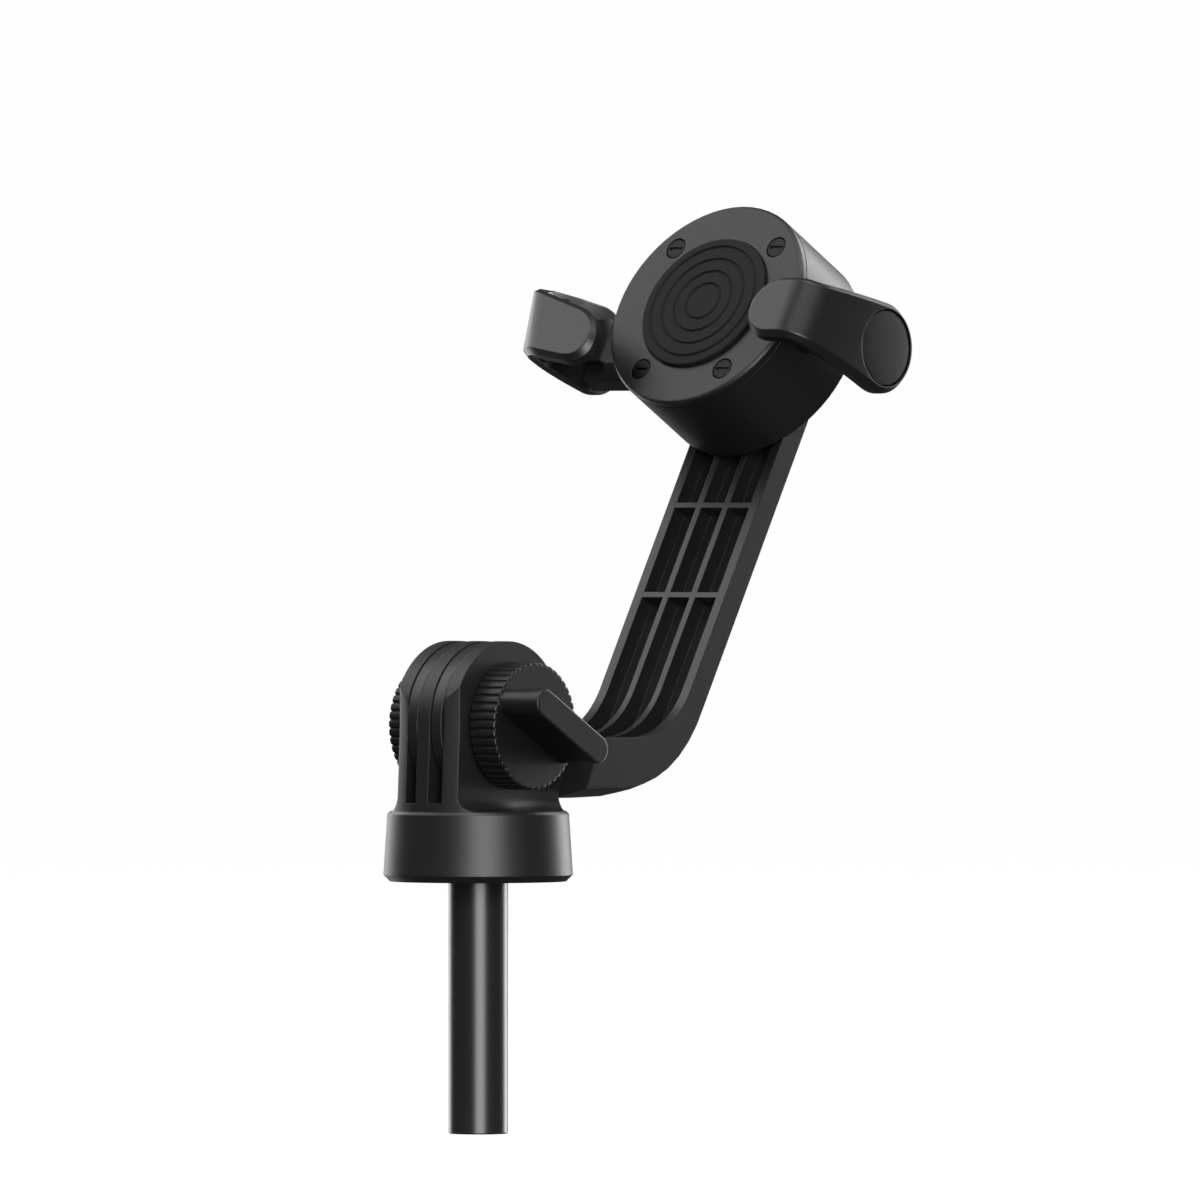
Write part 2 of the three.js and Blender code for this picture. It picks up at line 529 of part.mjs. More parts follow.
function jaw(lip) {
  const { wall, bend } = JAW;
  const reachX = tipX - lip.reach;
  const backEnd = elbow.z - JAW.elbowR;
  const cornerZ = lipFront - bend;
  const innerFrontX = frontX - wall;
  const outerLine = [[outerX, backEnd - 1], [outerX, taperFrom],
    [outerX - (outerX - frontX) * 0.3, (taperFrom + taperTo) / 2], [frontX, cornerZ],
    ...arc(frontX - bend, cornerZ, bend, 0, 90, 8)];
  const innerLine = [[innerFrontX - 1, lipBack], ...arc(innerFrontX - 1, lipBack - 1, 1, 90, 0, 3),
    [innerFrontX, taperTo], [paddleInner - (outerX - frontX) * 0.3, (taperFrom + taperTo) / 2],
    [paddleInner, taperFrom], [paddleInner, backEnd - 1]];
  const band = solid(slabY(shapeOf([...outerLine, [reachX + JAW.tipSlope, lipFront],
    [reachX, lipBack + 0.8], [reachX, lipBack], ...innerLine]), -FAR, FAR));
  const rootY = lip.root - LIPS.below;
  const tipY = lip.tip - LIPS.below;
  const rootX = frontX - bend;
  const side = solid(slabX(shapeOf(wrapTwo({ x: elbow.y, y: elbow.z, r: JAW.elbowR - JAW.sideDraft },
    { x: rootY, y: lipFront - lip.rootR + 3, r: lip.rootR - JAW.sideDraft })),
  0, outerX + JAW.sideDraft, JAW.sideDraft, JAW.wall, 3))
    .add(box([0, -FAR, lipBack - 1], [rootX, FAR, FAR]));
  const front = [[{ x: outerX + 6, y: rootY, r: lip.rootR }, { x: rootX, y: rootY, r: lip.rootR - 0.01 }],
    [{ x: rootX, y: rootY, r: lip.rootR }, { x: reachX + lip.tipR, y: tipY, r: lip.tipR - 0.01 }]]
    .map(([a, b]) => solid(slabZ(shapeOf(wrapTwo({ ...a, r: a.r - JAW.lipDraft },
      { ...b, r: b.r - JAW.lipDraft })), 0, lipFront, JAW.lipDraft, JAW.lipThickness, 3)))
    .reduce((all, piece) => all.add(piece), box([0, -FAR, -FAR], [FAR, FAR, cornerZ - 5]));
  let body = band.intersect(side).intersect(front);
  body = body.subtract(rod('x', JAW.capR + GAP, outerX - JAW.capThickness - GAP, FAR,
    [0, elbow.y, elbow.z], 48));
  body = body.subtract(rod('x', JAW.screwHeadR + GAP, outerX - JAW.capThickness - GAP - JAW.screwHead - GAP,
    FAR, [0, elbow.y, elbow.z]));
  return body.subtract(rod('x', JAW.screwR + GAP, 0, FAR, [0, elbow.y, elbow.z]));
}

function jawCap() {
  const to = outerX;
  const disc = solid(slabX(shapeOf(arc(0, 0, JAW.capR, 0, 352.5, 47)), to - JAW.capThickness, to, 0.3));
  return disc.translate([0, elbow.y, elbow.z]);
}

function jawScrew() {
  const head = outerX - JAW.capThickness - 2 * GAP;
  return rod('x', JAW.screwR - 0.4, head - JAW.screwLength, head - 0.5, [0, elbow.y, elbow.z])
    .add(rod('x', JAW.screwHeadR, head - JAW.screwHead + GAP, head, [0, elbow.y, elbow.z]));
}

function jawPad(lip) {
  const innerX = frontX - JAW.wall - GAP;
  const from = lipBack - GAP - JAW.padDepth;
  const taperShare = Math.max(0, (taperTo - from) / (taperTo - taperFrom));
  const flare = (outerX - frontX) * 0.7 * taperShare;
  const outline = shapeOf([[phoneSide + GAP, from], [innerX + flare, from], [innerX, taperTo],
    [innerX, lipBack - 1 - GAP], [innerX - 1, lipBack - GAP], [phoneSide + GAP, lipBack - GAP]]);
  const rootY = lip.root - LIPS.below;
  const half = lip.rootR - JAW.sideDraft - 1.4;
  return solid(slabY(outline, rootY - half, rootY + half));
}

// ---------- assembly ----------
const model = new THREE.Group();
model.add(mesh('pole', pole(), 'paint'), mesh('pole_plug', polePlug(), 'nylon'),
  mesh('pole_foot', poleFoot(), 'nylon'), mesh('plug_screw', plugScrew(), 'steel'),
  mesh('collar_yoke', collarYoke(), 'body'));

const pivot = new THREE.Group();
pivot.position.z = pivotZ;
pivot.add(mesh('tilt_bolt', tiltBolt(), 'steel'), mesh('tilt_nut', tiltNut(), 'steel'),
  mesh('lever_knob', leverKnob(), 'knob'), mesh('nut_knob', nutKnob(), 'knob'),
  mesh('arm', arm(), 'satin'));
model.add(pivot);

const tilted = new THREE.Group();
tilted.rotation.x = lean;
pivot.add(tilted);
const head = new THREE.Group();
head.position.set(0, HEAD.reach, frontPlane);
tilted.add(head);
head.add(mesh('swivel_bolt', swivelBolt(), 'steel'), mesh('swivel_washer', swivelWasher(), 'nylon'),
  mesh('housing_shell', housingShell(), 'body'), mesh('housing_cover', housingCover(), 'body'),
  mesh('rest_pad', restPad(), 'rubber'), mesh('pinion', pinion(), 'nylon'),
  mesh('pinion_axle', pinionAxle(), 'steel'), mesh('return_spring', returnSpring(), 'spring'));
screwSpots.forEach((spot, i) => head.add(mesh(`cover_screw_${i + 1}`, coverScrew(spot), 'steel')));

for (const side of ['right', 'left']) {
  const lip = LIPS[side];
  const hand = side === 'right' ? (body) => body : mirrorX;
  head.add(mesh(`slide_${side}`, hand(slide(side === 'right' ? 1 : -1)), 'nylon'),
    mesh(`jaw_${side}`, hand(jaw(lip)), 'satin'), mesh(`jaw_cap_${side}`, hand(jawCap()), 'satin'),
    mesh(`jaw_screw_${side}`, hand(jawScrew()), 'steel'),
    mesh(`jaw_pad_${side}`, hand(jawPad(lip)), 'rubber'));
}

export default model;
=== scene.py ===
"""A phone-holder head on a stand pole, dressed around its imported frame.

Sizes are in millimetres where they are named, and become metres as they go into a mesh. Places come
from the frame: the boxes of its nodes and the axis that the clamp head swivels about.
"""

import json
import logging
import math
from dataclasses import dataclass
from enum import Enum
from itertools import accumulate
from typing import Any, Callable, ClassVar, Iterable, Sequence

import bmesh
import bpy
from mathutils import Matrix, Vector

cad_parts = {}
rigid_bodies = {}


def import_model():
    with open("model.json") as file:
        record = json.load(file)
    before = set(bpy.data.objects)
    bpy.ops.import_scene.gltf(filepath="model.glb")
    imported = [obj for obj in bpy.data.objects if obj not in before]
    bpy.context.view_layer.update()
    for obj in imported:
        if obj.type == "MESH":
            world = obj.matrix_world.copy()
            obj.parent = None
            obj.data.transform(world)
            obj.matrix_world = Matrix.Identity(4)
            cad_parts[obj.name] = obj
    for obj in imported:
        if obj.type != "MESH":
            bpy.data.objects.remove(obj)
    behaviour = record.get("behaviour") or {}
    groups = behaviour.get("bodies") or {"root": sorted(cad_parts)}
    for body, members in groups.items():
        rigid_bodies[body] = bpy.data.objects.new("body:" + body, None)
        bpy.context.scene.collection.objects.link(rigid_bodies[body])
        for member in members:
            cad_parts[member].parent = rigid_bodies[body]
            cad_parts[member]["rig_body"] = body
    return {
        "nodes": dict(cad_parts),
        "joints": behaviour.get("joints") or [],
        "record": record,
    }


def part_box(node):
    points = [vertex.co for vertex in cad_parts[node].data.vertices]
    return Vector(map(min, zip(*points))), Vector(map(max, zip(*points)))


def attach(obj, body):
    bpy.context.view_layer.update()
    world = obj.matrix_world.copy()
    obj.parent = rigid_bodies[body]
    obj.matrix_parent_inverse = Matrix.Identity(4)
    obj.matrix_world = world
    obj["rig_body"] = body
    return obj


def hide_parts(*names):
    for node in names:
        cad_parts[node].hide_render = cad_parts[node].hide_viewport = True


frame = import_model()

log = logging.getLogger("phone_holder")

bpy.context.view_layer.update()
MM = 0.001
SLOT_OF = {row["node"]: row["material_slot"] for row in frame["record"]["subparts"]}

# A crease between faces is shaded sharp past SHARP_ANGLE, and a bevel rounds it past BEVEL_ANGLE.
SHARP_ANGLE = math.radians(32)
BEVEL_ANGLE = math.radians(28)

Point2 = tuple[float, float]
Level = tuple[float, float]


# ---------------------------------------------------------------- colours and nodes
def linear(hex_colour: str) -> tuple[float, float, float, float]:
    """Turns an sRGB hex colour into linear light.

    Args:
        hex_colour: six hex digits, such as "1c1d1f".

    Returns:
        Red, green, blue and an alpha of 1.
    """
    def channel(value: float) -> float:
        """One sRGB channel from 0 to 1, as linear light."""
        return value / 12.92 if value <= 0.04045 else ((value + 0.055) / 1.055) ** 2.4

    red, green, blue = (int(hex_colour[i:i + 2], 16) / 255 for i in (0, 2, 4))
    return channel(red), channel(green), channel(blue), 1.0


def add_node(tree: bpy.types.NodeTree, kind: str, settings: dict[str, Any] | None = None,
             links: dict[str, bpy.types.NodeSocket] | None = None,
             **options: Any) -> bpy.types.Node:
    """Adds a node to a tree, with its settings and what feeds it.

    Args:
        tree: the node tree that the node goes into.
        kind: the node's type name.
        settings: a value for each input socket that has a constant.
        links: the output socket that feeds each linked input.
        **options: the node's own properties, such as its operation.

    Returns:
        The new node.
    """
    node = tree.nodes.new(kind)
    for name, value in options.items():
        setattr(node, name, value)
    for socket, value in (settings or {}).items():
        node.inputs[socket].default_value = value
    for socket, output in (links or {}).items():
        tree.links.new(output, node.inputs[socket])
    return node


# ---------------------------------------------------------------- finishes
@dataclass(frozen=True)
class Finish:
    """A surface finish: what the material is and how its surface was made.

    The fields of the base class are what every moulded, painted or plated finish here shares: a
    colour that drifts a little, a roughness that drifts with it, and a fine relief.
    """

    name: str
    colour: str
    drift_colour: str
    roughness: float
    roughness_drift: float
    grain_mm: float
    grain_height_mm: float
    cloud_mm: float = 18.0
    metallic: float = 0.0
    ior: float | None = 1.5
    coat: float = 0.0
    coat_roughness: float = 0.03
    edge_mm: float = 0.25

    made: ClassVar[dict[str, bpy.types.Material]] = {}

    def material(self) -> bpy.types.Material:
        """The finish as a material, which is built the first time that it is asked for.

        Returns:
            The one material of this finish's name.
        """
        if self.name not in Finish.made:
            Finish.made[self.name] = self.build()
        return Finish.made[self.name]

    def build(self) -> bpy.types.Material:
        """Builds the material's node tree.

        Returns:
            A new material with the finish's colour, gloss and relief.
        """
        material = bpy.data.materials.new(self.name)
        material.use_nodes = True
        tree = material.node_tree
        tree.nodes.clear()
        place = add_node(tree, "ShaderNodeTexCoord").outputs["Object"]
        cloud = add_node(tree, "ShaderNodeTexNoise", {"Scale": 1 / (self.cloud_mm * MM), "Detail": 3.0},
                         {"Vector": place}).outputs["Fac"]
        tone = add_node(tree, "ShaderNodeMix", {6: linear(self.colour), 7: linear(self.drift_colour)},
                        {"Factor": cloud}, data_type="RGBA").outputs[2]
        low = self.roughness - self.roughness_drift
        high = self.roughness + self.roughness_drift
        gloss = add_node(tree, "ShaderNodeMapRange", {"To Min": low, "To Max": high},
                         {"Value": self.grain(tree, place)}).outputs["Result"]
        rounded = add_node(tree, "ShaderNodeBevel", {"Radius": self.edge_mm * MM}, samples=4)
        relief = add_node(tree, "ShaderNodeBump",
                          {"Strength": 1.0, "Distance": self.grain_height_mm * MM},
                          {"Height": self.grain(tree, place), "Normal": rounded.outputs["Normal"]})
        settings = {"Metallic": self.metallic, "Coat Weight": self.coat,
                    "Coat Roughness": self.coat_roughness}
        if self.ior is not None:
            settings["IOR"] = self.ior
        shader = add_node(tree, "ShaderNodeBsdfPrincipled", settings,
                          {"Base Color": tone, "Roughness": gloss, "Normal": relief.outputs["Normal"]})
        add_node(tree, "ShaderNodeOutputMaterial", links={"Surface": shader.outputs["BSDF"]})
        return material

    def grain(self, tree: bpy.types.NodeTree, place: bpy.types.NodeSocket) -> bpy.types.NodeSocket:
        """The fine relief, here an even grain as spark erosion leaves.

        Args:
            tree: the material's node tree.
            place: where on the piece the surface point is.

        Returns:
            The socket that gives the height, from 0 to 1.
        """
        return add_node(tree, "ShaderNodeTexNoise",
                        {"Scale": 1 / (self.grain_mm * MM), "Detail": 2.0, "Roughness": 0.6},
                        {"Vector": place}).outputs["Fac"]


@dataclass(frozen=True)
class PlatedFinish(Finish):
    """A metal whose relief is long marks along the way that it was drawn or rolled."""

    stretch: float = 12.0

    def grain(self, tree: bpy.types.NodeTree, place: bpy.types.NodeSocket) -> bpy.types.NodeSocket:
        """Drawing marks: a noise that is stretched along the piece's X.

        Args:
            tree: the material's node tree.
            place: where on the piece the surface point is.

        Returns:
            The socket that gives the height, from 0 to 1.
        """
        drawn = add_node(tree, "ShaderNodeMapping", {"Scale": (1 / self.stretch, 1.0, 1.0)},
                         {"Vector": place}).outputs["Vector"]
        return add_node(tree, "ShaderNodeTexNoise",
                        {"Scale": 1 / (self.grain_mm * MM), "Detail": 2.0},
                        {"Vector": drawn}).outputs["Fac"]


# Stoved black enamel on a drawn steel tube: a smooth film with the faint orange peel of sprayed
# paint, about 2.5 mm from crest to crest. It gives long, soft streaks of light down the tube.
STOVED_ENAMEL = Finish("stoved_enamel", "1e1e1f", "222223", 0.33, 0.03, 2.5, 0.004, coat=0.15,
                       coat_roughness=0.25)
# Black ABS from a spark-eroded mould. The texture's 0.15 mm grit is drawn at 0.35 mm, so that it
# still shows. It spreads each light into a broad, soft band.
SPARKED_ABS = Finish("sparked_abs", "161617", "1a1a1b", 0.44, 0.05, 0.35, 0.012)
# The same ABS from a finer mould, and a deeper black: the knobs read darker than the collar.
KNOB_ABS = Finish("knob_abs", "0d0d0e", "101011", 0.44, 0.05, 0.3, 0.012, edge_mm=0.2)
# Glass-filled nylon from a smooth mould: satin, with a faint cloudiness where the fibres lie.
SATIN_NYLON = Finish("satin_nylon", "151516", "19191a", 0.38, 0.05, 0.5, 0.008, cloud_mm=9.0,
                     ior=1.53)
# Silicone rubber, moulded against a blasted steel face: dull, and darker than the plastics.
SILICONE = Finish("silicone_rubber", "090909", "0d0d0d", 0.78, 0.06, 0.4, 0.03, ior=1.41)
# Natural acetal, turned or moulded smooth: milky white with a waxy shine.
ACETAL = Finish("natural_acetal", "dad7cd", "d2cfc4", 0.42, 0.05, 0.6, 0.006, ior=1.48)
# Bright zinc plate over cold-headed steel: a grey shine that is slightly streaked.
ZINC_PLATE = PlatedFinish("zinc_plate", "b4b7bb", "a3a6ab", 0.32, 0.06, 0.25, 0.006, metallic=1.0,
                          ior=None, edge_mm=0.12)
# Black zinc plate over the same steel: near black and satin, worn a little greyer on the crests.
BLACK_ZINC = PlatedFinish("black_zinc", "1b1b1d", "29292b", 0.34, 0.06, 0.25, 0.006, metallic=1.0,
                          ior=None, edge_mm=0.12)
# Blued strip steel for the coil spring, which keeps the straw and grey of its temper.
SPRING_STRIP = PlatedFinish("blued_strip", "6e7277", "5f6368", 0.36, 0.06, 0.3, 0.004, metallic=1.0,
                            ior=None, edge_mm=0.08)

FINISH_OF_SLOT = {
    "pole_paint": STOVED_ENAMEL, "body_plastic": SPARKED_ABS, "arm_plastic": SATIN_NYLON,
    "knob_plastic": KNOB_ABS, "rubber": SILICONE, "nylon": ACETAL, "steel": ZINC_PLATE,
    "black_steel": BLACK_ZINC, "spring_steel": SPRING_STRIP,
}


# ---------------------------------------------------------------- mesh tools
def arc(centre: Point2, radius: float, start: float, stop: float, steps: int) -> list[Point2]:
    """Points along an arc.

    Args:
        centre: the arc's centre.
        radius: its radius.
        start: the first angle, in degrees.
        stop: the last angle, in degrees.
        steps: how many chords it is cut into.

    Returns:
        One more point than there are chords.
    """
    angles = (math.radians(start + (stop - start) * i / steps) for i in range(steps + 1))
    return [(centre[0] + radius * math.cos(a), centre[1] + radius * math.sin(a)) for a in angles]


def inset_points(outline: Sequence[Point2], inset: float) -> list[Point2]:
    """Moves a closed outline inwards along its own normals.

    Args:
        outline: an outline that runs anticlockwise.
        inset: how far it moves.

    Returns:
        The moved points, as many as came in.
    """
    moved = []
    count = len(outline)
    for i, (x, y) in enumerate(outline):
        before, after = outline[i - 1], outline[(i + 1) % count]
        run = Vector((after[0] - before[0], after[1] - before[1])).normalized()
        moved.append((x - run.y * inset, y + run.x * inset))
    return moved


def shrunk_points(outline: Sequence[Point2], inset: float) -> list[Point2]:
    """Moves a closed outline inwards towards the origin, which keeps the flutes of a knob.

    Args:
        outline: an outline round the origin.
        inset: how far it moves.

    Returns:
        The moved points, as many as came in.
    """
    return [(x * (1 - inset / math.hypot(x, y)), y * (1 - inset / math.hypot(x, y)))
            for x, y in outline]


def stack(outline: Sequence[Point2], levels: Iterable[Level],
          inwards: Callable[[Sequence[Point2], float], list[Point2]] = inset_points
          ) -> bmesh.types.BMesh:
    """Builds a closed plate by stacking inset copies of an outline.

    Args:
        outline: an outline that runs anticlockwise, in millimetres.
        levels: for each copy its inset and its height, from the bottom up.
        inwards: how a copy is moved inwards.

    Returns:
        The plate, its outline in X and Y and its height in Z, in metres.
    """
    plate = bmesh.new()
    rings = [[plate.verts.new(Vector((x, y, height)) * MM) for x, y in inwards(outline, inset)]
             for inset, height in levels]
    for low, high in zip(rings, rings[1:]):
        for i in range(len(low)):
            j = (i + 1) % len(low)
            plate.faces.new((low[i], low[j], high[j], high[i]))
    plate.faces.new(reversed(rings[0]))
    plate.faces.new(rings[-1])
    return plate


def lathed(profile: Sequence[Point2], sides: int) -> bmesh.types.BMesh:
    """Turns a closed profile of (radius, height) points, in millimetres, about the Z axis.

    Args:
        profile: the profile, anticlockwise, either a closed ring off the axis or one that starts
            and ends on the axis.
        sides: how many flats the round has.

    Returns:
        The closed body, in metres.
    """
    body = bmesh.new()
    on_axis = profile[0][0] == 0
    rings = []
    for radius, height in profile:
        if radius == 0:
            rings.append([body.verts.new((0, 0, height * MM))] * sides)
            continue
        turns = (2 * math.pi * i / sides for i in range(sides))
        rings.append([body.verts.new((radius * math.cos(a) * MM, radius * math.sin(a) * MM,
                                      height * MM)) for a in turns])
    pairs = list(zip(rings, rings[1:])) + ([] if on_axis else [(rings[-1], rings[0])])
    for low, high in pairs:
        for i in range(sides):
            j = (i + 1) % sides
            corners = dict.fromkeys((low[i], low[j], high[j], high[i]))
            if len(corners) > 2:
                body.faces.new(corners)
    return body


def rounded(low: float, high: float, edge: float, steps: int = 4) -> list[Level]:
    """Levels for a plate whose two edges are rounded.

    Args:
        low: the height of the bottom.
        high: the height of the top.
        edge: the radius of the rounded edges.
        steps: how many chords each edge takes.

    Returns:
        Inset and height pairs for stack(), with a further ring on each flat face to hold it flat.
    """
    bottom = [(edge - x, low + edge + y) for x, y in arc((0, 0), edge, -90, 0, steps)]
    top = [(edge - x, high - edge + y) for x, y in arc((0, 0), edge, 0, 90, steps)]
    return [(edge + 0.3, low)] + bottom + top + [(edge + 0.3, high)]


def joined(body: bmesh.types.BMesh, tool: bmesh.types.BMesh, how: str) -> bmesh.types.BMesh:
    """Adds one closed body to another, or cuts it away.

    Args:
        body: the body that is kept.
        tool: the body that is added or cut away. It is used up.
        how: "UNION" or "DIFFERENCE".

    Returns:
        The result.
    """
    objects = []
    for part in (body, tool):
        mesh = bpy.data.meshes.new("work")
        bmesh.ops.recalc_face_normals(part, faces=part.faces[:])
        part.to_mesh(mesh)
        part.free()
        objects.append(bpy.data.objects.new("work", mesh))
        bpy.context.scene.collection.objects.link(objects[-1])
    modifier = objects[0].modifiers.new("join", "BOOLEAN")
    modifier.operation, modifier.solver, modifier.object = how, "EXACT", objects[1]
    result = bmesh.new()
    result.from_object(objects[0], bpy.context.evaluated_depsgraph_get())
    for work in objects:
        bpy.data.meshes.remove(work.data)
    return result


def copied(node: str) -> bmesh.types.BMesh:
    """A frame node's shape, with its doubled points welded and its flat faces made whole.

    Args:
        node: the node's name.

    Returns:
        A mesh of its own, which may be edited.
    """
    body = bmesh.new()
    body.from_mesh(frame["nodes"][node].data)
    bmesh.ops.remove_doubles(body, verts=body.verts[:], dist=2e-6)
    bmesh.ops.dissolve_limit(body, angle_limit=math.radians(0.4), verts=body.verts[:],
                             edges=body.edges[:])
    return body


def placed(name: str, body: bmesh.types.BMesh, node: str, where: Matrix | None = None,
           bevel_mm: float = 0.0, stands_for: Sequence[str] = ()) -> bpy.types.Object:
    """Puts a mesh into the scene in place of frame nodes, with their body, slot and finish.

    Args:
        name: the piece's name.
        body: its mesh. It is used up.
        node: the frame node that gives the body, the slot and the finish.
        where: the matrix that carries the mesh into the frame.
        bevel_mm: the width of the rounding on its sharp edges, or 0 for none.
        stands_for: further frame nodes that it stands for.

    Returns:
        The new piece.
    """
    if where is not None:
        body.transform(where)
    bmesh.ops.recalc_face_normals(body, faces=body.faces[:])
    mesh = bpy.data.meshes.new(name)
    body.to_mesh(mesh)
    body.free()
    mesh.shade_smooth()
    if not bevel_mm:
        mesh.set_sharp_from_angle(angle=SHARP_ANGLE)
    piece = bpy.data.objects.new(name, mesh)
    bpy.context.scene.collection.objects.link(piece)
    if bevel_mm:
        edge = piece.modifiers.new("edge", "BEVEL")
        edge.width, edge.segments = bevel_mm * MM, 2
        edge.limit_method, edge.angle_limit = "ANGLE", BEVEL_ANGLE
    piece.modifiers.new("weigh", "WEIGHTED_NORMAL").keep_sharp = True
    slot = SLOT_OF[node]
    mesh.materials.append(FINISH_OF_SLOT[slot].material())
    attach(piece, frame["nodes"][node]["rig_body"])
    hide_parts(node, *stands_for)
    return piece


def kept(nodes: Iterable[str]) -> None:
    """Gives the frame nodes that stay their finish and slot.

    Args:
        nodes: the nodes' names.
    """
    for node in nodes:
        piece = frame["nodes"][node]
        piece.data.materials.clear()
        piece.data.materials.append(FINISH_OF_SLOT[SLOT_OF[node]].material())
        log.info("%s: kept from the frame", node)


# ---------------------------------------------------------------- the pole and its collar
def tilt_height() -> float:
    """The height of the tilt axis, midway up the lever-side knob, in metres."""
    low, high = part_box("lever_knob")
    return (low.z + high.z) / 2


@dataclass
class PoleAndCollar:
    """The enamelled tube, and the moulded collar with its three prongs."""

    wall: float = 1.2
    lip: float = 0.25
    sides: int = 128
    collar_edge: float = 0.35
    prong_from: float = 15.0
    shoulder: float = 2.2
    squared: float = 0.05
    crease: float = 0.4

    def collar(self) -> bmesh.types.BMesh:
        """The collar, with the crest of each outer prong rounded over where it meets the flanks.

        Returns:
            The collar and its prongs as one closed body.
        """
        body = copied("collar_yoke")
        creases = []
        for edge in body.edges:
            if len(edge.link_faces) != 2:
                continue
            crest, flank = sorted((face.normal for face in edge.link_faces), key=lambda n: -abs(n.z))
            middle = (edge.verts[0].co + edge.verts[1].co) / 2
            outer = abs(middle.x) > self.prong_from * MM and middle.z > tilt_height()
            squared = abs(crest.x) < self.squared and abs(flank.z) < self.squared
            if outer and squared and edge.calc_face_angle() > self.crease:
                creases.append(edge)
        bmesh.ops.bevel(body, geom=creases, offset=self.shoulder * MM, segments=5, profile=0.5,
                        affect="EDGES", clamp_overlap=True)
        return body

    def build(self) -> None:
        """Builds the tube and the collar."""
        low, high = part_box("pole")
        radius, top = high.x / MM, high.z / MM
        inner, lip = radius - self.wall, self.lip
        tube = lathed([(inner, 0), (radius - lip, 0), (radius, lip), (radius, top - lip),
                       (radius - lip, top), (inner, top)], self.sides)
        placed("pole_tube", tube, "pole", Matrix.Translation((0, 0, low.z)))
        placed("collar_and_prongs", self.collar(), "collar_yoke", bevel_mm=self.collar_edge)

    def dress(self) -> None:
        """Dresses the fittings inside the tube."""
        kept(("pole_plug", "pole_foot", "plug_screw"))


# ---------------------------------------------------------------- the tilt clamp
@dataclass
class TiltClamp:
    """The two fluted knobs on the tilt axis, one of them with a lever bar across its face."""

    radius: float = 15.4
    flutes: int = 45
    groove: float = 0.5
    ridge_share: float = 0.62
    face_edge: float = 0.5
    bar_length: float = 29.5
    bar_width: float = 6.8
    bar_height: float = 11.9
    bar_edge: float = 0.45
    bar_sunk: float = 2.0
    bar_angle: float = -30.0
    crown: float = 0.05

    def fluted(self) -> list[Point2]:
        """The knob's outline: wide ridges with narrow round-bottomed grooves between them.

        Returns:
            Points round the knob's axis, anticlockwise.
        """
        pitch = 2 * math.pi / self.flutes
        points = []
        for i in range(self.flutes):
            ridge = [(k / 4 * self.ridge_share, self.crown * abs(k - 2) ** 2 / 4) for k in range(5)]
            width = 1 - self.ridge_share
            grooves = [(self.ridge_share + width * share, self.groove * depth)
                       for share, depth in ((0.25, 0.8), (0.5, 1.0), (0.75, 0.8))]
            for share, drop in ridge + grooves:
                angle, reach = (i + share) * pitch, self.radius - drop
                points.append((reach * math.cos(angle), reach * math.sin(angle)))
        return points

    def bar(self) -> list[Point2]:
        """The lever bar's outline, a long slot with round ends.

        Returns:
            Points round the knob's axis, anticlockwise.
        """
        end = self.bar_width / 2
        half = self.bar_length / 2 - end
        return arc((half, 0), end, -90, 90, 20) + arc((-half, 0), end, 90, 270, 20)

    def build(self) -> None:
        """Builds both knobs on the tilt axis."""
        low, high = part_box("nut_knob")
        turn = Matrix(((0, 0, 1, 0), (1, 0, 0, 0), (0, 1, 0, 0), (0, 0, 0, 1)))
        onto_axis = Matrix.Translation((0, 0, tilt_height())) @ turn
        nut = stack(self.fluted(), rounded(low.x / MM, high.x / MM, self.face_edge), shrunk_points)
        placed("nut_side_knob", nut, "nut_knob", onto_axis, stands_for=("tilt_nut",))
        low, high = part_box("lever_knob")
        rim = high.x / MM - self.bar_height
        disc = stack(self.fluted(), rounded(low.x / MM, rim, self.face_edge), shrunk_points)
        bar = stack(self.bar(), rounded(rim - self.bar_sunk, high.x / MM, self.bar_edge))
        bar.transform(Matrix.Rotation(math.radians(self.bar_angle), 4, "Z"))
        placed("lever_side_knob", joined(disc, bar, "UNION"), "lever_knob", onto_axis)

    def dress(self) -> None:
        """Dresses the bolt through the prongs."""
        kept(("tilt_bolt",))


# ---------------------------------------------------------------- the arm
@dataclass
class CrankedArm:
    """The ribbed channel arm with its two tongues."""

    edge: float = 0.3

    def build(self) -> None:
        """Builds the arm, with its moulded edges rounded."""
        placed("cranked_arm", copied("arm"), "arm", bevel_mm=self.edge)

    def dress(self) -> None:
        """Dresses the bolt that the head swivels on."""
        kept(("swivel_bolt",))


# ---------------------------------------------------------------- the clamp head
def head_frame() -> Matrix:
    """The head's own frame: X across, Y up along the arm, Z towards the phone.

    Returns:
        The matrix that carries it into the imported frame.
    """
    swivel = next(joint for joint in frame["joints"] if joint["name"] == "swivel")
    across, forward = Vector((1, 0, 0)), Vector(swivel["axis"]).normalized()
    turn = Matrix((across, forward.cross(across), forward)).transposed().to_4x4()
    return Matrix.Translation(swivel["pos_m"]) @ turn


